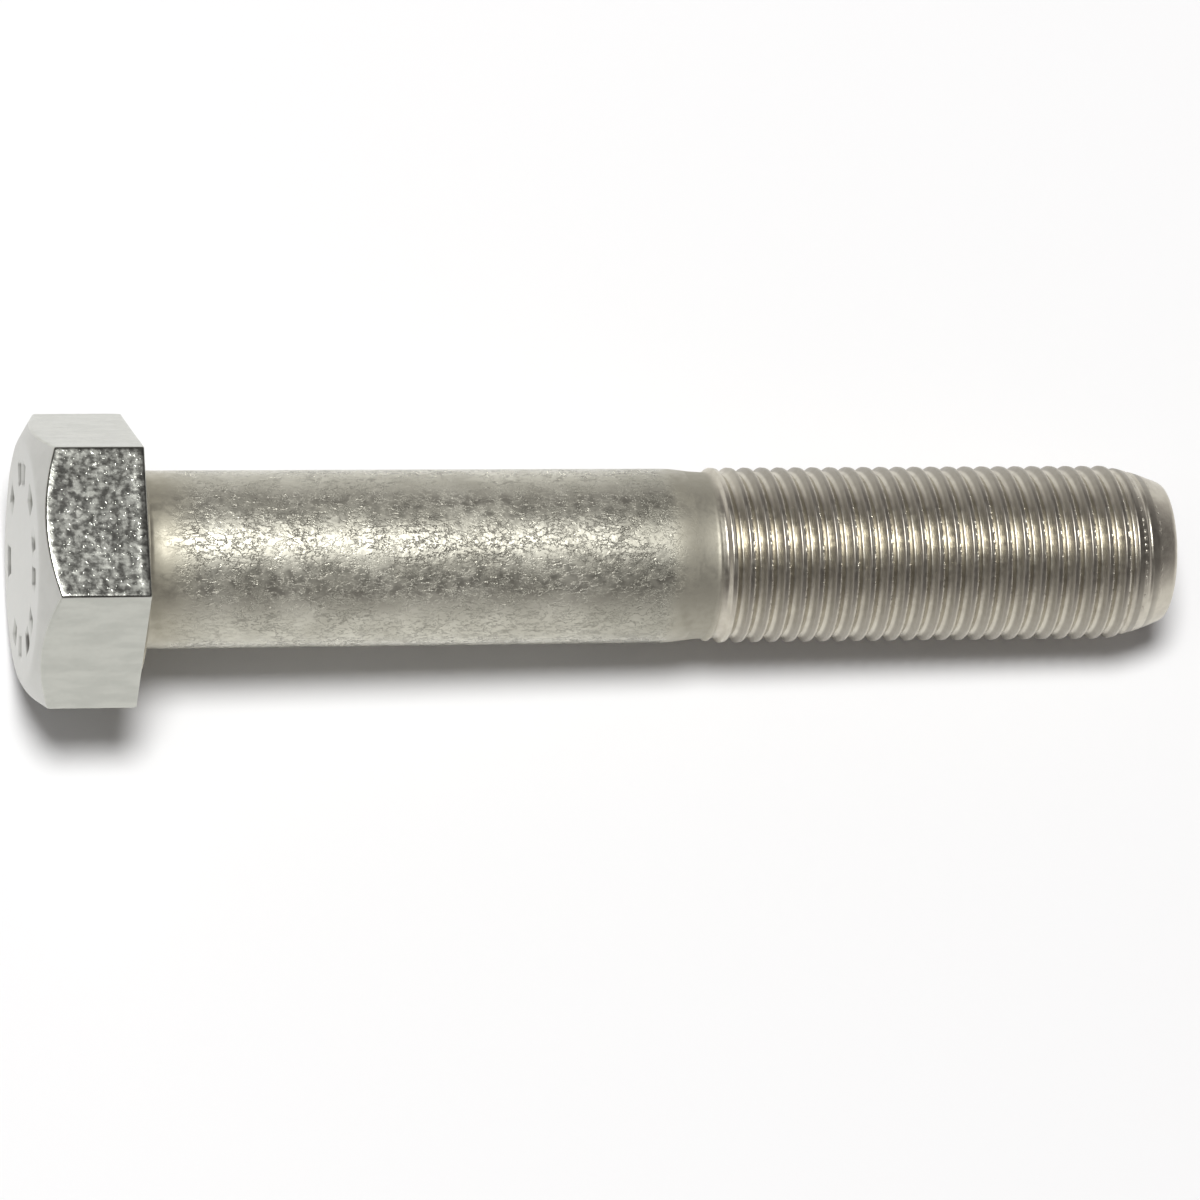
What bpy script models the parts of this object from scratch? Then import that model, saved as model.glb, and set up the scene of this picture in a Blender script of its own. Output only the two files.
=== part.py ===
"""Hex cap screw, 1/2 in - 20 UNF x 3 in, forged and thread rolled from one bar of stainless steel.

The bolt lies along X with its origin at the centre of the head's end face, and its shank runs to
+X. Two of the six wrench flats face straight up and down. Until the last step, which moves the
bolt to its origin, every x is measured from the bearing face under the head.
"""

import math

import bmesh
import bpy
from mathutils import Matrix

MM = 0.001
INCH = 25.4 * MM

# Thread: 20 to the inch, right-handed.
PITCH = INCH / 20
MAJOR_RADIUS = 6.32 * MM
THREAD_DEPTH = 0.595 * PITCH
ROOT_RADIUS = MAJOR_RADIUS - THREAD_DEPTH
CREST_FLAT = PITCH / 8
ROOT_FLAT = PITCH / 4
CREST_AT_Y = 44.49 * MM  # where a crest crosses the +Y side
THREAD_START = 42.2 * MM

# Length under the head, a little short of the nominal 3 in but inside the usual tolerance.
LENGTH = 3 * INCH - 0.4 * MM

# Head.
HEAD_HEIGHT = 7.94 * MM
ACROSS_FLATS = 18.85 * MM
WASHER_FACE_RADIUS = 8.65 * MM
WASHER_FACE_HEIGHT = 0.3 * MM
TOP_FLAT_RADIUS = 8.65 * MM
HEAD_CHAMFER = math.radians(31)

# Shank: a slight taper from the head to the neck that the thread was rolled from.
FILLET = 0.6 * MM
BODY_RADIUS_AT_HEAD = 6.325 * MM
BODY_RADIUS_AT_NECK = 6.26 * MM
BODY_END = 38.9 * MM
NECK_RADIUS = 6.0 * MM
NECK_START = 40.8 * MM

# Point: a truncated cone that the thread's last two turns fade into.
POINT_LENGTH = 1.8 * MM
POINT_START_RADIUS = 5.7 * MM
POINT_CONE_RADIUS = 5.1 * MM
POINT_RADIUS = 4.8 * MM
POINT_ROUNDING = 0.25 * MM

# Facets.
TURNED_STEPS = 48
THREAD_STEPS = 32
FILLET_STEPS = 4

STEEL_COLOUR = (0.56, 0.55, 0.50, 1)
STEEL_ROUGHNESS = 0.36


def clear_scene():
    for old in list(bpy.data.objects):
        bpy.data.objects.remove(old)


def new_collection(name):
    group = bpy.data.collections.new(name)
    bpy.context.scene.collection.children.link(group)
    return group


def new_object(name, mesh, group):
    thing = bpy.data.objects.new(name, mesh)
    group.objects.link(thing)
    return thing


def hide_cutter(cutter):
    cutter.hide_render = True
    cutter.display_type = "WIRE"


def profile_mesh(name, points):
    """Edges through (x, radius) points, drawn on the +Y side from the bolt's point end to its head."""
    mesh = bpy.data.meshes.new(name)
    mesh.from_pydata(
        [(x, radius, 0) for x, radius in points],
        [(i, i + 1) for i in range(len(points) - 1)],
        [],
    )
    return mesh


def spin(thing, steps, turns=1, advance=0.0):
    screw = thing.modifiers.new("spin", "SCREW")
    screw.axis = "X"
    screw.steps = steps
    screw.render_steps = steps
    screw.iterations = turns
    screw.screw_offset = advance
    screw.use_merge_vertices = advance == 0
    screw.merge_threshold = 0.001 * MM


def turned(name, points, group):
    solid = new_object(name, profile_mesh(name, points), group)
    spin(solid, TURNED_STEPS)
    return solid


def combine(base, operation, other):
    boolean = base.modifiers.new(operation.lower(), "BOOLEAN")
    boolean.operation = operation
    boolean.solver = "EXACT"
    boolean.object = other


def make_real(thing):
    """Replaces the object's mesh with what its modifiers make of it."""
    evaluated = thing.evaluated_get(bpy.context.evaluated_depsgraph_get())
    mesh = bpy.data.meshes.new_from_object(evaluated)
    thing.modifiers.clear()
    thing.data = mesh


def fillet_points():
    """The round under the head, from the shank to the bearing face."""
    centre_x = FILLET
    centre_radius = BODY_RADIUS_AT_HEAD + FILLET
    points = []
    for step in range(FILLET_STEPS + 1):
        angle = math.pi / 2 * step / FILLET_STEPS
        x = centre_x - FILLET * math.sin(angle)
        points.append((x, centre_radius - FILLET * math.cos(angle)))
    return points


def make_blank(group):
    """Shank, neck and washer face. Both ends are buried, one in the thread and one in the head."""
    buried_radius = ROOT_RADIUS - 0.25 * MM
    run_out_end = THREAD_START + 1.2 * PITCH
    points = [
        (run_out_end + 2 * PITCH, 0),
        (run_out_end + 2 * PITCH, buried_radius),
        (run_out_end, buried_radius),
        (THREAD_START, NECK_RADIUS),
        (NECK_START, NECK_RADIUS),
        (BODY_END, BODY_RADIUS_AT_NECK),
        *fillet_points(),
        (0, WASHER_FACE_RADIUS),
        (-HEAD_HEIGHT / 2, WASHER_FACE_RADIUS),
        (-HEAD_HEIGHT / 2, 0),
    ]
    return turned("hex_bolt", points, group)


def make_head(group):
    """A hexagon whose outer corners are cut back by a cone."""
    corner_radius = ACROSS_FLATS / math.sqrt(3)
    depth = HEAD_HEIGHT - WASHER_FACE_HEIGHT
    along_x = Matrix.Rotation(math.pi / 2, 4, "Y")
    to_middle = Matrix.Translation((-WASHER_FACE_HEIGHT - depth / 2, 0, 0))
    shape = bmesh.new()
    bmesh.ops.create_cone(
        shape,
        cap_ends=True,
        segments=6,
        radius1=corner_radius,
        radius2=corner_radius,
        depth=depth,
        matrix=to_middle @ along_x,
    )
    mesh = bpy.data.meshes.new("head")
    shape.to_mesh(mesh)
    shape.free()
    head = new_object("head", mesh, group)
    combine(head, "INTERSECT", make_chamfer_cutter(group))
    hide_cutter(head)
    return head


def make_chamfer_cutter(group):
    """A cone and cylinder that hold what is left of the hexagon once its corners are chamfered."""
    spare = 2 * MM
    outer_radius = ACROSS_FLATS / math.sqrt(3) + spare
    slope = math.tan(HEAD_CHAMFER)
    cone_end = -HEAD_HEIGHT + (outer_radius - TOP_FLAT_RADIUS) * slope
    cone_start = -HEAD_HEIGHT - spare
    points = [
        (spare, 0),
        (spare, outer_radius),
        (cone_end, outer_radius),
        (cone_start, TOP_FLAT_RADIUS - spare / slope),
        (cone_start, 0),
    ]
    cutter = turned("head_chamfer", points, group)
    hide_cutter(cutter)
    return cutter


def thread_profile(start):
    """One pitch of thread from crest to crest, in order from the point end to the head."""
    flank = (PITCH - CREST_FLAT - ROOT_FLAT) / 2
    crest_end = start + PITCH - CREST_FLAT
    return [
        (start + PITCH, MAJOR_RADIUS),
        (crest_end, MAJOR_RADIUS),
        (crest_end - flank, ROOT_RADIUS),
        (start + flank, ROOT_RADIUS),
        (start, MAJOR_RADIUS),
    ]


def close_end(shape, loop, apex_x):
    """Fans an open end of the thread to a point on the bolt's axis."""
    fan = bmesh.ops.extrude_edge_only(shape, edges=loop)
    rim = [part for part in fan["geom"] if isinstance(part, bmesh.types.BMVert)]
    bmesh.ops.pointmerge(shape, verts=rim, merge_co=(apex_x, 0, 0))


def run_out_limit(x):
    """Highest the thread may stand at x, so that it rises out of the neck over one and a half turns."""
    hidden_radius = NECK_RADIUS - 0.5 * MM
    rise = (x - THREAD_START + 0.55 * PITCH) / (1.5 * PITCH)
    return hidden_radius + max(rise, 0) * (MAJOR_RADIUS - hidden_radius)


def make_thread(group):
    """A helix that starts inside the neck and runs past the point, where it is trimmed."""
    turns_before = math.ceil((CREST_AT_Y - THREAD_START) / PITCH) + 1
    turns = turns_before + math.ceil((LENGTH - CREST_AT_Y) / PITCH) + 1
    start = CREST_AT_Y - turns_before * PITCH + CREST_FLAT / 2
    thread = new_object("thread", profile_mesh("thread", thread_profile(start)), group)
    spin(thread, THREAD_STEPS, turns, PITCH)
    make_real(thread)

    shape = bmesh.new()
    shape.from_mesh(thread.data)
    bmesh.ops.remove_doubles(shape, verts=shape.verts, dist=0.001 * MM)
    for corner in shape.verts:
        radius = corner.co.yz.length
        shrink = min(1, run_out_limit(corner.co.x) / radius)
        corner.co.yz *= shrink
    middle = (THREAD_START + LENGTH) / 2
    rims = [edge for edge in shape.edges if edge.is_boundary]
    near = [edge for edge in rims if edge.verts[0].co.x < middle]
    far = [edge for edge in rims if edge.verts[0].co.x > middle]
    close_end(shape, near, start + PITCH / 2)
    close_end(shape, far, start + (turns + 0.5) * PITCH)
    bmesh.ops.recalc_face_normals(shape, faces=shape.faces)
    shape.to_mesh(thread.data)
    shape.free()
    hide_cutter(thread)
    return thread


def make_point_cutter(group):
    """What the bolt stays inside near its point: the last crests fade into a cone with a flat end."""
    clear = ACROSS_FLATS
    point_start = LENGTH - POINT_LENGTH
    points = [
        (LENGTH, 0),
        (LENGTH, POINT_RADIUS),
        (LENGTH - POINT_ROUNDING * 0.4, POINT_RADIUS + POINT_ROUNDING * 0.75),
        (LENGTH - POINT_ROUNDING, POINT_CONE_RADIUS),
        (point_start, POINT_START_RADIUS),
        (point_start - 2 * PITCH, MAJOR_RADIUS + 0.05 * MM),
        (point_start - 3 * PITCH, clear),
        (-2 * HEAD_HEIGHT, clear),
        (-2 * HEAD_HEIGHT, 0),
    ]
    cutter = turned("point", points, group)
    hide_cutter(cutter)
    return cutter


def stainless_steel():
    material = bpy.data.materials.new("stainless_steel")
    material.use_nodes = True
    surface = material.node_tree.nodes["Principled BSDF"]
    surface.inputs["Base Color"].default_value = STEEL_COLOUR
    surface.inputs["Roughness"].default_value = STEEL_ROUGHNESS
    surface.inputs["Metallic"].default_value = 1
    return material


def make_bolt(parts, cutters):
    """The bolt is one piece of metal, so the blank, the head and the thread are joined for good."""
    bolt = make_blank(parts)
    combine(bolt, "UNION", make_head(cutters))
    combine(bolt, "UNION", make_thread(cutters))
    combine(bolt, "INTERSECT", make_point_cutter(cutters))
    make_real(bolt)
    bolt.data.materials.clear()
    bolt.data.materials.append(stainless_steel())
    bolt.data.shade_smooth()
    bolt.data.set_sharp_from_angle(angle=math.radians(22))
    bolt.location.x = HEAD_HEIGHT
    return bolt


clear_scene()
make_bolt(new_collection("hex_cap_screw"), new_collection("cutters"))
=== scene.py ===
"""Looks of the hex bolt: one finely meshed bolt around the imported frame, its steel, floor and light."""

import math
from typing import NamedTuple

import bpy
import numpy as np
from mathutils import Matrix, Vector


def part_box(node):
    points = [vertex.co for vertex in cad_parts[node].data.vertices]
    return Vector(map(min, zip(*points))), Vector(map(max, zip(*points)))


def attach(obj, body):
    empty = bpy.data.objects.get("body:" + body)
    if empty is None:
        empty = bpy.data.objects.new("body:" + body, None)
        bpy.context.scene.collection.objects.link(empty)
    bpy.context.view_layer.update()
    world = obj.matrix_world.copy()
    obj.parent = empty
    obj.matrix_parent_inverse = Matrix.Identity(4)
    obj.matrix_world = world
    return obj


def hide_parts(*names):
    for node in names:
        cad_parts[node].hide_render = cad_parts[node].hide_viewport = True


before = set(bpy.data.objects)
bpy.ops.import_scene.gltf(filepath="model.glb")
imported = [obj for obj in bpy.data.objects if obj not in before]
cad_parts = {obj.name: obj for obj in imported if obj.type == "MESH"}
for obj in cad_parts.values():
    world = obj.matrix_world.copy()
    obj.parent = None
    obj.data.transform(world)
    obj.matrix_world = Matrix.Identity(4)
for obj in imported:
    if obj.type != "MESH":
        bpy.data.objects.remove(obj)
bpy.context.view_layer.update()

MM = 0.001

# Everything below is in millimetres until the mesh is made. X runs from the head's end face to the
# point, and angles run round the axis from +Y towards +Z.
_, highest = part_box("hex_bolt")
END = highest[0] / MM
FLAT_RADIUS = highest[2] / MM

# Head. Its corners lie every 60 degrees from +Y, with the wrench flats halfway between them, and
# HALF_SIDE is half the angle that one flat spans.
HEAD_HEIGHT = 7.94
HALF_SIDE = math.radians(30)
CORNER_ROUNDING = 0.13
TOP_FLAT_RADIUS = 8.65
TOP_FLAT_ROUNDING = 0.3
CHAMFER_SLOPE = math.tan(math.radians(31))
CHAMFER_ROUNDING = 0.14
WASHER_HEIGHT = 0.3
WASHER_RADIUS = 8.65
FILLET = 0.6

# Each wrench flat is slightly hollow. The hollow starts and is at its deepest at these distances
# from the hexagon's corners, and it is at its deepest this far behind the chamfer.
DISH_DEPTH = 0.015
DISH_START = 0.1
DISH_FULL = 1.1
DISH_BEHIND_CHAMFER = 1.0

# Beside the washer face, a flat has a raised lip and then an edge that is rolled inwards.
LIP_WIDTH = 0.4
LIP_ROUNDING = 0.15
ROLLED_WIDTH = 0.5
ROLLED_DEPTH = 0.035
ROLLED_ROUNDING = 0.16
UNDERSIDE_ROUNDING = 0.1

# Marks stamped into the head's end face: short bars round a circle, each with its middle and its
# length in degrees. Only the ring of the face that holds them is finely meshed, and a vertex is on
# the face when its x is under ON_FACE.
MARK_RADIUS = 6.2
MARK_WIDTH = 1.5
MARK_DEPTH = 0.3
MARK_EDGE = 0.1
MARK_EDGE_DEGREES = 1
ON_FACE = 0.01
MARKS = [
    (12, 12),
    (30, 8),
    (64, 15),
    (96, 8),
    (118, 12),
    (151, 10),
    (172, 14),
    (205, 8),
    (232, 12),
    (287, 16),
    (331, 10),
]
MARKED_RING = (4.6, 7.6)

# Shank.
BODY_RADIUS_AT_HEAD = 6.325
BODY_RADIUS_AT_NECK = 6.26
BODY_END = HEAD_HEIGHT + 38.9
BODY_END_ROUNDING = 0.7
NECK_RADIUS = 6.0
NECK_START = HEAD_HEIGHT + 40.8
NECK_BLEND = 0.11

# Thread. Its back is the side toward the head. A crest crosses the +Y side at CREST_AT_Y in the CAD
# model, and CREST_OFFSET pitches further on here. A shallow seam runs along each crest: it deepens
# from SEAM_START to SEAM_MIDDLE and ends at SEAM_END, all measured from the middle of the crest.
PITCH = 1.27
MAJOR_RADIUS = 6.32
CREST_AT_Y = HEAD_HEIGHT + 44.49
CREST_OFFSET = 0.1
CREST_HALF_WIDTH = 0.12 * PITCH
BACK_EDGE_BLEND = 0.05
FRONT_EDGE_BLEND = 0.14
FLANK_SLOPE = math.tan(math.radians(53))
THREAD_DEPTH = 0.54
ROOT_BLEND = 0.42
SEAM_DEPTH = 0.03
SEAM_START = -CREST_HALF_WIDTH
SEAM_MIDDLE = 0.03
SEAM_END = 0.17

# The crests rise out of the neck three quarters of a pitch nearer the head than in the CAD model,
# and the grooves sink into it a little later.
CRESTS_START = HEAD_HEIGHT + 42.2 - 0.75 * PITCH
CRESTS_FULL = CRESTS_START + 0.5 * PITCH
GROOVES_START = CRESTS_START + 0.3 * PITCH
GROOVES_FULL = CRESTS_START + 1.3 * PITCH

# Point: the last turns fade into a cone with a rounded edge.
POINT_START = END - 1.8
POINT_START_RADIUS = 5.7
POINT_CONE_RADIUS = 5.1
POINT_CONE_BLEND = 0.1
FADE_START_RADIUS = MAJOR_RADIUS + 0.05
FADE_LENGTH = 2 * PITCH
FADE_BLEND = 0.08
POINT_RADIUS = 4.95
POINT_ROUNDING = 0.25
POINT_EDGE_START = END - POINT_ROUNDING - 0.1

# The helical part of the mesh starts and ends a pitch earlier on the +Y side than it does once it
# has gone all the way round. The thread has faded out before either end.
HELIX_START = CRESTS_START - 1.05 * PITCH
HELIX_END = END - POINT_ROUNDING - 0.15 - PITCH
POINT_GROOVE_DEPTH = 0.3
POINT_GROOVES_FADE = HELIX_END - 0.7
POINT_GROOVES_END = HELIX_END + 0.1

# Mesh density. CROWDING draws the columns toward the hexagon's corners: 0 would leave them even.
COLUMNS_PER_SIDE = 25
COLUMNS = 6 * COLUMNS_PER_SIDE
CROWDING = 0.8
ROWS_PER_PITCH = 18
ARC_ROWS = 4
INNERMOST_RADIUS = 0.4

# The bolt's steels, in the order of its material slots.
STEEL_NAMES = ["head_end", "hex_side", "shank", "thread"]


def column_angles():
    """One angle for each column of vertices, closest together at the hexagon's corners."""
    share = np.arange(COLUMNS_PER_SIDE) / COLUMNS_PER_SIDE
    side = share - CROWDING * np.sin(2 * math.pi * share) / (2 * math.pi)
    return np.concatenate([(number + side) * 2 * HALF_SIDE for number in range(6)])


ANGLES = column_angles()
FROM_CORNER = np.abs((ANGLES + HALF_SIDE) % (2 * HALF_SIDE) - HALF_SIDE)


def smooth_min(a, b, blend):
    """The smaller of two surfaces, with the crease between them rounded over about blend."""
    near = np.maximum(blend - np.abs(a - b), 0) / blend
    return np.minimum(a, b) - near**2 * blend / 4


def smooth_max(a, b, blend):
    return -smooth_min(-a, -b, blend)


def smooth_step(start, end, value):
    share = np.clip((value - start) / (end - start), 0, 1)
    return share * share * (3 - 2 * share)


class Corner(NamedTuple):
    """A corner of a profile, and the straight stretch that follows it."""

    place: np.ndarray
    steel: str
    rows: int
    rounding: float


def corner(x, radius, steel, rows=1, rounding=0.0):
    """x and radius are each the same in all columns, or hold one value for each column."""
    place = np.stack([np.broadcast_to(x, COLUMNS), np.broadcast_to(radius, COLUMNS)], axis=1)
    return Corner(place, steel, rows, rounding)


def toward(start, end, distance):
    step = end - start
    return start + step / np.linalg.norm(step, axis=1, keepdims=True) * distance


def turn_rows(before, here, after):
    """Rows that turn a corner gently, or the one row of a sharp corner."""
    if not here.rounding:
        return [here.place]
    start = toward(here.place, before.place, here.rounding)
    end = toward(here.place, after.place, here.rounding)
    shares = np.linspace(0, 1, ARC_ROWS)
    return [(1 - s) ** 2 * start + 2 * s * (1 - s) * here.place + s**2 * end for s in shares]


def profile_rows(corners):
    """Rows of vertices along a profile, and the steel that follows each row."""
    rows = []
    steels = []
    for number, here in enumerate(corners):
        before = corners[number - 1]
        after = corners[(number + 1) % len(corners)]
        turn = turn_rows(before, here, after)
        if rows:
            start = rows[-1]
            shares = np.arange(1, before.rows) / before.rows
            rows += [start + (turn[0] - start) * share for share in shares]
            steels += [before.steel] * (before.rows - 1)
        rows += turn
        steels += [here.steel] * len(turn)
    return rows, steels


def hexagon_radius():
    """Distance from the axis to the hexagon in each column, with rounded corners."""
    sharp = FLAT_RADIUS / np.cos(HALF_SIDE - FROM_CORNER)
    centre = (FLAT_RADIUS - CORNER_ROUNDING) / math.cos(HALF_SIDE)
    inside = np.maximum(CORNER_ROUNDING**2 - (centre * np.sin(FROM_CORNER)) ** 2, 0)
    rounded = centre * np.cos(FROM_CORNER) + np.sqrt(inside)
    touching = math.atan((FLAT_RADIUS - CORNER_ROUNDING) * math.tan(HALF_SIDE) / FLAT_RADIUS)
    return np.where(HALF_SIDE - FROM_CORNER > touching, rounded, sharp)


def dish():
    """How far each column of the head lies below the flat of its slightly hollow wrench face."""
    from_edge = FLAT_RADIUS * (math.tan(HALF_SIDE) - np.tan(HALF_SIDE - FROM_CORNER))
    return DISH_DEPTH * smooth_step(DISH_START, DISH_FULL, from_edge)


def neck_radius(x):
    """Radius of the slope from the shank down to the neck, and of the neck itself."""
    slope = (BODY_RADIUS_AT_NECK - NECK_RADIUS) / (NECK_START - BODY_END)
    return smooth_max(NECK_RADIUS, NECK_RADIUS + (NECK_START - x) * slope, NECK_BLEND)


def point_limit(x):
    """Radius of the cone that the last crests fade into and that ends the bolt."""
    cone_slope = (POINT_START_RADIUS - POINT_CONE_RADIUS) / (END - POINT_ROUNDING - POINT_START)
    fade_slope = (FADE_START_RADIUS - POINT_START_RADIUS) / FADE_LENGTH
    cone = POINT_START_RADIUS + (POINT_START - x) * cone_slope
    fade = POINT_START_RADIUS + (POINT_START - x) * fade_slope
    return smooth_min(cone, fade, POINT_CONE_BLEND)


def end_face():
    """The flat end of the head, from its middle to the chamfer."""
    inner, outer = MARKED_RING
    return [
        corner(0, INNERMOST_RADIUS, "head_end", rows=12),
        corner(0, inner, "head_end", rows=16),
        corner(0, outer, "head_end", rows=3),
        corner(0, TOP_FLAT_RADIUS, "head_end", rows=5, rounding=TOP_FLAT_ROUNDING),
    ]


def hexagon():
    """The six sides of the head, from the chamfer to the washer face."""
    side = hexagon_radius()
    hollow = side - dish()
    chamfer_end = (side - TOP_FLAT_RADIUS) * CHAMFER_SLOPE
    underside = HEAD_HEIGHT - WASHER_HEIGHT
    rolled_start = underside - ROLLED_WIDTH
    lip_start = rolled_start - LIP_WIDTH
    # The rolled edge is deeper on some sides than on others.
    uneven = 0.75 + 0.3 * np.sin(2 * ANGLES + 2.2) + 0.25 * np.sin(5 * ANGLES)
    rolled = side - ROLLED_DEPTH * uneven
    return [
        corner(chamfer_end, side, "hex_side", rows=2, rounding=CHAMFER_ROUNDING),
        corner(chamfer_end + DISH_BEHIND_CHAMFER, hollow, "hex_side", rows=14),
        corner(lip_start, hollow, "hex_side", rows=2, rounding=LIP_ROUNDING),
        corner(rolled_start, side, "hex_side", rows=2, rounding=ROLLED_ROUNDING),
        corner(underside, rolled, "hex_side", rows=3, rounding=UNDERSIDE_ROUNDING),
    ]


def shank():
    """The washer face, the fillet, the shank and the neck, as far as the helical rows."""
    neck_end = HELIX_START - 0.05
    return [
        corner(HEAD_HEIGHT - WASHER_HEIGHT, WASHER_RADIUS, "shank"),
        corner(HEAD_HEIGHT, WASHER_RADIUS, "shank", rows=3, rounding=UNDERSIDE_ROUNDING),
        corner(HEAD_HEIGHT, BODY_RADIUS_AT_HEAD, "shank", rows=56, rounding=FILLET),
        corner(BODY_END, BODY_RADIUS_AT_NECK, "shank", rounding=BODY_END_ROUNDING),
        corner(neck_end, neck_radius(neck_end), "shank"),
    ]


def point():
    """From the end of the thread over the point's rounded edge to the middle of the end face."""
    return [
        corner(POINT_EDGE_START, point_limit(POINT_EDGE_START), "thread"),
        corner(END, POINT_RADIUS, "thread", rows=6, rounding=POINT_ROUNDING),
        corner(END, INNERMOST_RADIUS, "thread"),
    ]


def crest_surface(from_crest):
    """Radius of a crest with its seam and of both its flanks, each as deep as it would go."""
    back_flank = MAJOR_RADIUS + (CREST_HALF_WIDTH + from_crest) * FLANK_SLOPE
    front_flank = MAJOR_RADIUS + (CREST_HALF_WIDTH - from_crest) * FLANK_SLOPE
    into_seam = np.clip((from_crest - SEAM_START) / (SEAM_MIDDLE - SEAM_START), 0, 1)
    seam = into_seam - smooth_step(SEAM_MIDDLE, SEAM_END, from_crest)
    crest = smooth_min(MAJOR_RADIUS - SEAM_DEPTH * seam, back_flank, BACK_EDGE_BLEND)
    return smooth_min(crest, front_flank, FRONT_EDGE_BLEND)


def root_surface(x):
    """Radius of the roots, which follow the point's cone until they fade out on it."""
    fading = POINT_GROOVE_DEPTH * smooth_step(POINT_GROOVES_END, POINT_GROOVES_FADE, x)
    return np.minimum(MAJOR_RADIUS - THREAD_DEPTH, point_limit(x) - fading)


def thread_radius(x, angle):
    """The rolled thread, from where it rises out of the neck to where it fades into the point."""
    turned = (x - CREST_AT_Y) / PITCH - CREST_OFFSET - angle / (2 * math.pi)
    from_crest = (turned - np.round(turned)) * PITCH
    formed = smooth_max(crest_surface(from_crest), root_surface(x), ROOT_BLEND) - NECK_RADIUS
    above = np.maximum(formed, 0) * smooth_step(CRESTS_START, CRESTS_FULL, x)
    below = np.minimum(formed, 0) * smooth_step(GROOVES_START, GROOVES_FULL, x)
    return smooth_min(neck_radius(x) + above + below, point_limit(x), FADE_BLEND)


def thread_rows():
    """Rows that follow the helix, so each one is a pitch further on when it has gone round once."""
    number = int((HELIX_END - HELIX_START) / PITCH * ROWS_PER_PITCH)
    rows = []
    for row in range(number):
        x = HELIX_START + (row / ROWS_PER_PITCH + ANGLES / (2 * math.pi)) * PITCH
        rows.append(np.stack([x, thread_radius(x, ANGLES)], axis=1))
    return rows


def stamp(points):
    """Sinks the marks into the part of the end face that they cover."""
    radius = np.hypot(points[:, 1], points[:, 2])
    angle = np.degrees(np.arctan2(points[:, 2], points[:, 1]))
    from_circle = np.abs(radius - MARK_RADIUS)
    across = smooth_step(MARK_WIDTH / 2 + MARK_EDGE, MARK_WIDTH / 2 - MARK_EDGE, from_circle)
    across *= points[:, 0] < ON_FACE
    for middle, length in MARKS:
        away = np.abs((angle - middle + 180) % 360 - 180)
        along = smooth_step(length / 2 + MARK_EDGE_DEGREES, length / 2 - MARK_EDGE_DEGREES, away)
        points[:, 0] += MARK_DEPTH * across * along
    return points


def in_space(row):
    """Turns a row's x and radius into points around the axis."""
    x, radius = row[:, 0], row[:, 1]
    return np.stack([x, radius * np.cos(ANGLES), radius * np.sin(ANGLES)], axis=1)


class BoltMesh:
    """Collects rows of vertices and the faces between them."""

    def __init__(self):
        self.points = []
        self.faces = []
        self.steels = []
        self.count = 0

    def add_row(self, row):
        first = self.count
        self.points.append(in_space(row))
        self.count += COLUMNS
        return first

    def add_face(self, corners, steel):
        self.faces.append(corners)
        self.steels.append(STEEL_NAMES.index(steel))

    def join(self, first, second, steel, columns=COLUMNS):
        """Faces between two rows, the last of them back to the first column if all are asked for."""
        for column in range(columns):
            following = (column + 1) % COLUMNS
            corners = (first + column, first + following, second + following, second + column)
            self.add_face(corners, steel)

    def add_rings(self, rows, steels):
        starts = [self.add_row(row) for row in rows]
        for first, second, steel in zip(starts, starts[1:], steels):
            self.join(first, second, steel)
        return starts[0], starts[-1]

    def add_helix(self, rows, steel):
        """Rows whose last column meets the first column of the row one pitch further on."""
        starts = [self.add_row(row) for row in rows]
        last = COLUMNS - 1
        for first, second in zip(starts, starts[1:]):
            self.join(first, second, steel, last)
        across = zip(starts, starts[1:], starts[ROWS_PER_PITCH:], starts[ROWS_PER_PITCH + 1 :])
        for first, second, further, beyond in across:
            self.add_face((first + last, further, beyond, second + last), steel)
        return starts

    def join_helix(self, before, starts, after, steel):
        """Closes both ends of a helix onto the rings before and after it."""
        last = COLUMNS - 1
        self.join(before, starts[0], steel, last)
        first_pitch = starts[: ROWS_PER_PITCH + 1]
        self.add_face((before + last, before, *first_pitch, starts[0] + last), steel)
        self.join(starts[-1], after, steel, last)
        last_pitch = [start + last for start in reversed(starts[-1 - ROWS_PER_PITCH :])]
        self.add_face((after, after + last, *last_pitch, starts[-1]), steel)

    def close(self, ring, x, steel, at_start):
        """Fans the ring at one end of the bolt to a point on the axis."""
        middle = self.count
        self.points.append(np.array([[x, 0, 0]]))
        self.count += 1
        for column in range(COLUMNS):
            following = (column + 1) % COLUMNS
            pair = (ring + column, ring + following)
            if at_start:
                pair = pair[::-1]
            self.add_face((*pair, middle), steel)

    def finish(self):
        mesh = bpy.data.meshes.new("bolt")
        points = stamp(np.concatenate(self.points))
        mesh.from_pydata((points * MM).tolist(), [], self.faces)
        mesh.polygons.foreach_set("material_index", self.steels)
        mesh.shade_smooth()
        return mesh


def bolt_mesh():
    shape = BoltMesh()
    corners = end_face() + hexagon() + shank()
    head_start, neck_end = shape.add_rings(*profile_rows(corners))
    helix = shape.add_helix(thread_rows(), "thread")
    point_start, point_end = shape.add_rings(*profile_rows(point()))
    shape.join_helix(neck_end, helix, point_start, "thread")
    shape.close(head_start, 0, "head_end", True)
    shape.close(point_end, END, "thread", False)
    return shape.finish()


def make_bolt():
    bolt = bpy.data.objects.new("bolt", bolt_mesh())
    bpy.context.scene.collection.objects.link(bolt)
    for make_steel in (head_end_steel, hex_side_steel, shank_steel, thread_steel):
        bolt.data.materials.append(make_steel())
    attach(bolt, "root")
    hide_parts("hex_bolt")


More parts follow.
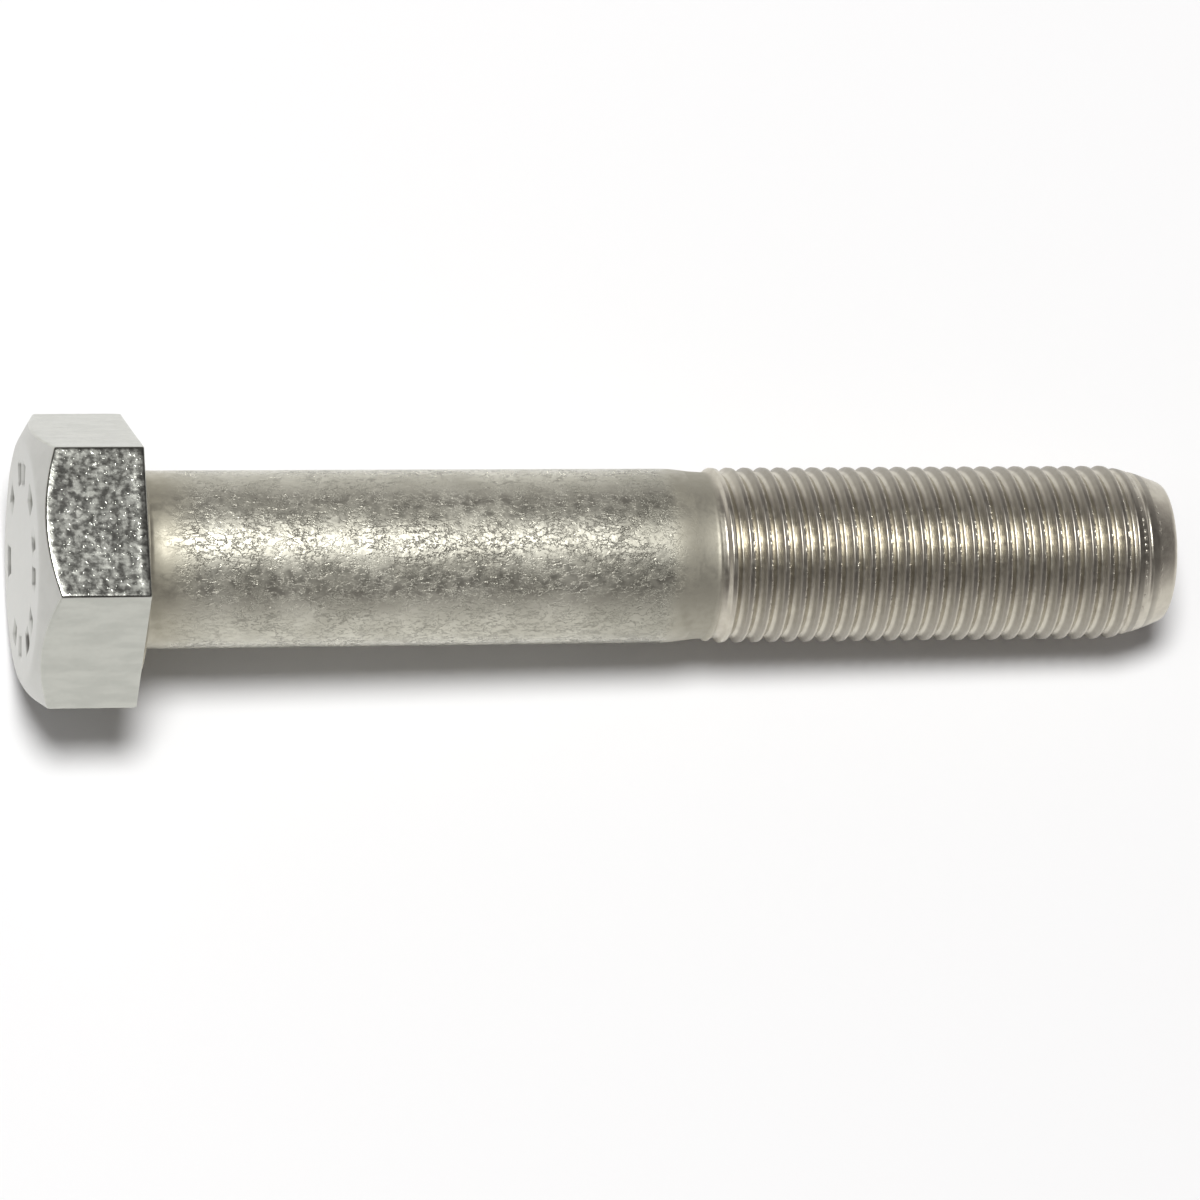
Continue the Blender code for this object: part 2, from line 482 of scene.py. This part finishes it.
class Nodes:
    """Short ways to add shader nodes and links to one material."""

    def __init__(self, name):
        self.material = bpy.data.materials.new(name)
        self.material.use_nodes = True
        self.tree = self.material.node_tree
        self.surface = self.tree.nodes["Principled BSDF"]
        coordinates = self.tree.nodes.new("ShaderNodeTexCoord")
        self.place = coordinates.outputs["Object"]

    def feed(self, socket, value):
        if isinstance(value, bpy.types.NodeSocket):
            self.tree.links.new(value, socket)
        else:
            socket.default_value = value

    def stretched(self, scale):
        """Coordinates in millimetres, multiplied by a scale for each axis."""
        node = self.tree.nodes.new("ShaderNodeMapping")
        self.feed(node.inputs["Vector"], self.place)
        node.inputs["Scale"].default_value = [factor / MM for factor in scale]
        return node.outputs["Vector"]

    def noise(self, scale, detail=2.0, stretch=(1, 1, 1), roughness=0.5):
        node = self.tree.nodes.new("ShaderNodeTexNoise")
        self.feed(node.inputs["Vector"], self.stretched(stretch))
        node.inputs["Scale"].default_value = scale
        node.inputs["Detail"].default_value = detail
        node.inputs["Roughness"].default_value = roughness
        return node.outputs["Fac"]

    def band(self, value, start, end, low=0.0, high=1.0):
        """Maps value from start..end to low..high, smoothly and held at both ends."""
        node = self.tree.nodes.new("ShaderNodeMapRange")
        node.interpolation_type = "SMOOTHSTEP"
        self.feed(node.inputs["Value"], value)
        node.inputs["From Min"].default_value = start
        node.inputs["From Max"].default_value = end
        node.inputs["To Min"].default_value = low
        node.inputs["To Max"].default_value = high
        return node.outputs["Result"]

    def maths(self, operation, first, second=0.0):
        node = self.tree.nodes.new("ShaderNodeMath")
        node.operation = operation
        self.feed(node.inputs[0], first)
        self.feed(node.inputs[1], second)
        return node.outputs["Value"]

    def plus(self, first, second):
        return self.maths("ADD", first, second)

    def times(self, first, second):
        return self.maths("MULTIPLY", first, second)

    def away(self, value, middle):
        """How far a value is from a middle one, either way."""
        return self.maths("ABSOLUTE", self.maths("SUBTRACT", value, middle))

    def axes(self):
        """The X, Y and Z coordinates of a place, in metres."""
        node = self.tree.nodes.new("ShaderNodeSeparateXYZ")
        self.feed(node.inputs[0], self.place)
        return node.outputs

    def along(self):
        """Distance along the bolt, in millimetres."""
        return self.times(self.axes()["X"], 1 / MM)

    def from_axis(self):
        """Distance from the bolt's axis, in millimetres."""
        node = self.tree.nodes.new("ShaderNodeVectorMath")
        node.operation = "LENGTH"
        self.feed(node.inputs[0], self.stretched((0, 1, 1)))
        return node.outputs["Value"]

    def phase(self):
        """How far through the thread's profile a place is: 0 in the root before a crest, 0.5 on it."""
        axes = self.axes()
        turn = self.maths("DIVIDE", self.maths("ARCTAN2", axes["Z"], axes["Y"]), 2 * math.pi)
        pitches = self.maths("DIVIDE", axes["X"], PITCH * MM)
        along = self.maths("SUBTRACT", pitches, turn)
        return self.maths("FRACT", self.plus(along, 0.5 - CREST_OFFSET - CREST_AT_Y / PITCH))

    def grazing(self):
        """0 where the surface faces the eye, rising to 1 where it is seen edge on."""
        node = self.tree.nodes.new("ShaderNodeLayerWeight")
        return node.outputs["Facing"]

    def mix(self, share, first, second):
        node = self.tree.nodes.new("ShaderNodeMix")
        node.data_type = "RGBA"
        self.feed(node.inputs["Factor"], share)
        self.feed(node.inputs["A"], first)
        self.feed(node.inputs["B"], second)
        return node.outputs["Result"]

    def clouded(self, cloud, colours):
        """Wanders between two colours as a noise does."""
        return self.mix(self.band(cloud, 0.35, 0.65), *colours)

    def bump(self, height, depth_mm, onto=None):
        node = self.tree.nodes.new("ShaderNodeBump")
        self.feed(node.inputs["Height"], height)
        node.inputs["Distance"].default_value = depth_mm * MM
        if onto:
            self.feed(node.inputs["Normal"], onto)
        return node.outputs["Normal"]

    def finish(self, colour, roughness, normal):
        self.surface.inputs["Metallic"].default_value = 1
        self.feed(self.surface.inputs["Base Color"], colour)
        self.feed(self.surface.inputs["Roughness"], roughness)
        self.feed(self.surface.inputs["Normal"], normal)
        return self.material


# Colours of the steel. Where there are two, it wanders between them.
END_FACE_COLOURS = (0.53, 0.53, 0.50, 1), (0.58, 0.58, 0.55, 1)
PAINTED_MARK_SHADE_COLOUR = (0.28, 0.28, 0.25, 1)
HEX_SIDE_COLOURS = (0.49, 0.495, 0.45, 1), (0.55, 0.555, 0.505, 1)
SHANK_COLOURS = (0.51, 0.495, 0.42, 1), (0.61, 0.595, 0.51, 1)
CRACK_COLOUR = (0.20, 0.19, 0.155, 1)
PAINTED_SHADE_SHANK_COLOUR = (0.30, 0.29, 0.24, 1)
BESIDE_HEAD_COLOUR = (0.47, 0.445, 0.36, 1)
NECK_COLOUR = (0.44, 0.42, 0.35, 1)
THREAD_COLOURS = (0.55, 0.515, 0.435, 1), (0.63, 0.595, 0.505, 1)
PAINTED_SHADE_THREAD_COLOUR = (0.36, 0.335, 0.285, 1)


def head_end_steel():
    """Matt, and darker inside the stamped marks, where painted shade stands in for the shade in their
    recesses.
    """
    steel = Nodes("head_end_steel")
    cloud = steel.noise(0.5, detail=3)
    # Painted shade: the recesses of the stamped marks get a darker colour.
    below_face = steel.band(steel.along(), 0.05, 0.25)
    inside_chamfer = steel.band(steel.from_axis(), 8, 7.8)
    stamped = steel.times(below_face, inside_chamfer)
    colour = steel.mix(stamped, steel.clouded(cloud, END_FACE_COLOURS), PAINTED_MARK_SHADE_COLOUR)
    roughness = steel.band(cloud, 0.3, 0.7, low=0.35, high=0.45)
    return steel.finish(colour, roughness, steel.bump(steel.noise(3, detail=3), 0.01))


def hex_side_steel():
    """Shiny and battered, more in some patches than in others, with fine streaks along the bolt."""
    steel = Nodes("hex_side_steel")
    colour = steel.clouded(steel.noise(1.2, detail=4, stretch=(0.3, 1, 1)), HEX_SIDE_COLOURS)
    roughness = steel.band(steel.noise(2.5, detail=3), 0.3, 0.7, low=0.13, high=0.22)

    patches = steel.band(steel.noise(0.45, detail=2), 0.38, 0.62, low=0.5, high=1.2)
    battered = steel.times(steel.noise(1.3, detail=5, stretch=(0.7, 1, 1), roughness=0.6), patches)
    pits = steel.band(steel.noise(3.2, detail=3, roughness=0.6), 0.6, 0.72)
    streaks = steel.noise(3, detail=2, stretch=(0.05, 1, 1))
    normal = steel.bump(streaks, 0.004, steel.bump(pits, 0.003, steel.bump(battered, 0.012)))
    return steel.finish(colour, roughness, normal)


def shank_steel():
    """Wavy, pitted and finely cracked, but smooth and bare beside the head and on the neck, with painted
    shade darkening the stretch before the neck.
    """
    steel = Nodes("shank_steel")
    along = steel.along()
    beside_head = steel.band(along, HEAD_HEIGHT + 5, HEAD_HEIGHT + 0.5)
    neck = steel.band(along, BODY_END - 1.5, BODY_END + 0.5)
    smooth = steel.maths("MAXIMUM", beside_head, neck)
    patches = steel.band(steel.noise(0.3, detail=3), 0.38, 0.6, low=0.3)
    texture = steel.times(steel.band(smooth, 0, 1, low=1, high=0.15), patches)

    wandering = steel.noise(1.9, detail=4, stretch=(0.6, 1, 1), roughness=0.65)
    cracks = steel.band(steel.away(wandering, 0.5), 0.03, 0)
    pits = steel.band(steel.noise(3, detail=3, stretch=(0.5, 1, 1), roughness=0.65), 0.55, 0.68)
    marked = steel.times(steel.maths("MAXIMUM", cracks, pits), texture)

    plain = steel.clouded(steel.noise(0.35, detail=4), SHANK_COLOURS)
    worn = steel.mix(steel.times(marked, 0.5), plain, CRACK_COLOUR)
    # Painted shade: the colour darkens over the last stretch before the neck, so the highlight fades
    # there.
    painted_shade = steel.band(along, BODY_END - 10, BODY_END - 1, high=0.4)
    bare = steel.mix(neck, BESIDE_HEAD_COLOUR, NECK_COLOUR)
    colour = steel.mix(smooth, steel.mix(painted_shade, worn, PAINTED_SHADE_SHANK_COLOUR), bare)

    grain = steel.band(steel.noise(1.4, detail=4), 0.3, 0.7, low=0.36, high=0.52)
    sheen = steel.band(steel.grazing(), 0.4, 0.8, high=0.22)
    roughness = steel.maths("SUBTRACT", grain, sheen)
    roughness = steel.plus(roughness, steel.times(smooth, 0.1))
    roughness = steel.plus(roughness, steel.times(neck, 0.1))

    waves = steel.times(steel.noise(1.6, detail=3, roughness=0.6), texture)
    normal = steel.bump(waves, 0.042, steel.bump(marked, -0.03))
    return steel.finish(colour, roughness, normal)


def thread_steel():
    """Bright roots and front flanks, back flanks and crests darkened by painted shade, and crests torn
    along the front.

    The point is even, and so is the first turn, over which the neck's bare steel runs out.
    """
    steel = Nodes("thread_steel")
    along = steel.along()
    begun = steel.band(along, CRESTS_START + PITCH, CRESTS_START + 2 * PITCH)
    threaded = steel.times(begun, steel.band(along, END - 1, END - 2))
    neck = steel.band(along, CRESTS_START + 0.8, CRESTS_START)
    phase = steel.phase()
    # Painted shade: the back flanks and crests get a darker colour, standing in for the thread's own
    # shade and dimming the highlight along each crest's back edge.
    painted_shade = steel.times(steel.band(steel.away(phase, 0.36), 0.26, 0.14), threaded)
    crest_front = steel.times(steel.band(steel.away(phase, 0.67), 0.09, 0.03), threaded)

    rolled = steel.clouded(steel.noise(0.8, detail=3), THREAD_COLOURS)
    colour = steel.mix(neck, steel.mix(painted_shade, rolled, PAINTED_SHADE_THREAD_COLOUR), NECK_COLOUR)

    grain = steel.band(steel.noise(2.5, detail=3), 0.3, 0.7, low=0.30, high=0.40)
    roughness = steel.plus(grain, steel.times(painted_shade, 0.05))
    roughness = steel.plus(roughness, steel.times(neck, 0.25))

    fine = steel.bump(steel.noise(4, detail=3, roughness=0.7), 0.01)
    torn = steel.times(steel.band(steel.noise(2.6, detail=3), 0.5, 0.66), crest_front)
    return steel.finish(colour, roughness, steel.bump(torn, 0.05, fine))


# The bolt lies on the edge of its lower wrench flat and on the thread's last full crest.
REST_AT_HEAD = Vector((HEAD_HEIGHT - WASHER_HEIGHT, 0, -FLAT_RADIUS))
REST_AT_THREAD = Vector((END - 4, 0, -MAJOR_RADIUS))
FLOOR_HALF_SIZE = 450
FLOOR_COLOUR = (0.93, 0.93, 0.93, 1)
FLOOR_ROUGHNESS = 0.9
FLOOR_SHINE = 0.1

CAMERA_TARGET = Vector((41.64, -3.29, 0))
CAMERA_DISTANCE = 508.9
CAMERA_AZIMUTH = math.radians(-39.08)
CAMERA_ELEVATION = math.radians(69.61)
CAMERA_ROLL = math.radians(-4.16)
CAMERA_LENS = 212.7
CAMERA_CLIP = (10, 10000)

# Soft boxes: where each one hangs, its diameter and its power.
LIGHT_TARGET = Vector((38, 0, 0))
LIGHTS = {
    "key": (Vector((-113, 87, 900)), 290, 7.7),
    "glow": (Vector((-125, -10, 500)), 380, 0.25),
}

# How bright the room is at each height, from level with the table to straight above it.
ROOM = [
    (0.0, (0.83, 0.81, 0.81)),
    (0.3, (0.26, 0.245, 0.25)),
    (0.6, (0.065, 0.06, 0.06)),
    (1.0, (0.04, 0.036, 0.036)),
]


def paper():
    material = bpy.data.materials.new("paper")
    material.use_nodes = True
    surface = material.node_tree.nodes["Principled BSDF"]
    surface.inputs["Base Color"].default_value = FLOOR_COLOUR
    surface.inputs["Roughness"].default_value = FLOOR_ROUGHNESS
    surface.inputs["Specular IOR Level"].default_value = FLOOR_SHINE
    return material


def make_floor():
    """A square of paper, tilted to touch the bolt where it rests."""
    half = FLOOR_HALF_SIZE * MM
    corners = [(-half, -half, 0), (half, -half, 0), (half, half, 0), (-half, half, 0)]
    mesh = bpy.data.meshes.new("floor")
    mesh.from_pydata(corners, [], [(0, 1, 2, 3)])
    mesh.materials.append(paper())
    floor = bpy.data.objects.new("floor", mesh)
    rise = REST_AT_THREAD - REST_AT_HEAD
    floor.location = REST_AT_HEAD * MM
    floor.rotation_euler = (0, -math.atan2(rise.z, rise.x), 0)
    bpy.context.scene.collection.objects.link(floor)


def camera_back():
    """The direction from the target to the camera."""
    level = math.cos(CAMERA_ELEVATION)
    x = math.sin(CAMERA_AZIMUTH) * level
    y = -math.cos(CAMERA_AZIMUTH) * level
    return Vector((x, y, math.sin(CAMERA_ELEVATION)))


def make_camera():
    back = camera_back()
    right = Vector((0, 1, 0)).cross(back).normalized()
    up = back.cross(right)
    turn = Matrix.Rotation(CAMERA_ROLL, 3, "Z")
    basis = Matrix((right, up, back)).transposed() @ turn
    place = (CAMERA_TARGET + back * CAMERA_DISTANCE) * MM
    data = bpy.data.cameras.new("camera")
    data.lens = CAMERA_LENS
    data.clip_start, data.clip_end = (distance * MM for distance in CAMERA_CLIP)
    camera = bpy.data.objects.new("camera", data)
    camera.matrix_world = Matrix.Translation(place) @ basis.to_4x4()
    bpy.context.scene.collection.objects.link(camera)
    bpy.context.scene.camera = camera


def make_lights():
    """A soft box high overhead, and a wider and weaker one lower down for the glow round it."""
    for name, (place, size, watts) in LIGHTS.items():
        data = bpy.data.lights.new(name, "AREA")
        data.shape = "DISK"
        data.size = size * MM
        data.energy = watts
        light = bpy.data.objects.new(name, data)
        light.location = place * MM
        light.rotation_euler = (place - LIGHT_TARGET).to_track_quat("Z", "Y").to_euler()
        bpy.context.scene.collection.objects.link(light)


def make_room():
    """Pale walls round the table and a dark ceiling."""
    world = bpy.data.worlds.new("room")
    bpy.context.scene.world = world
    world.use_nodes = True
    tree = world.node_tree
    coordinates = tree.nodes.new("ShaderNodeTexCoord")
    height = tree.nodes.new("ShaderNodeSeparateXYZ")
    tree.links.new(coordinates.outputs["Generated"], height.inputs[0])
    ramp = tree.nodes.new("ShaderNodeValToRGB")
    tree.links.new(height.outputs["Z"], ramp.inputs["Fac"])
    while len(ramp.color_ramp.elements) < len(ROOM):
        ramp.color_ramp.elements.new(0.5)
    for step, (position, colour) in zip(ramp.color_ramp.elements, ROOM):
        step.position = position
        step.color = (*colour, 1)
    tree.links.new(ramp.outputs["Color"], tree.nodes["Background"].inputs["Color"])


make_bolt()
make_floor()
make_camera()
make_lights()
make_room()
bpy.context.scene.view_settings.view_transform = "Standard"
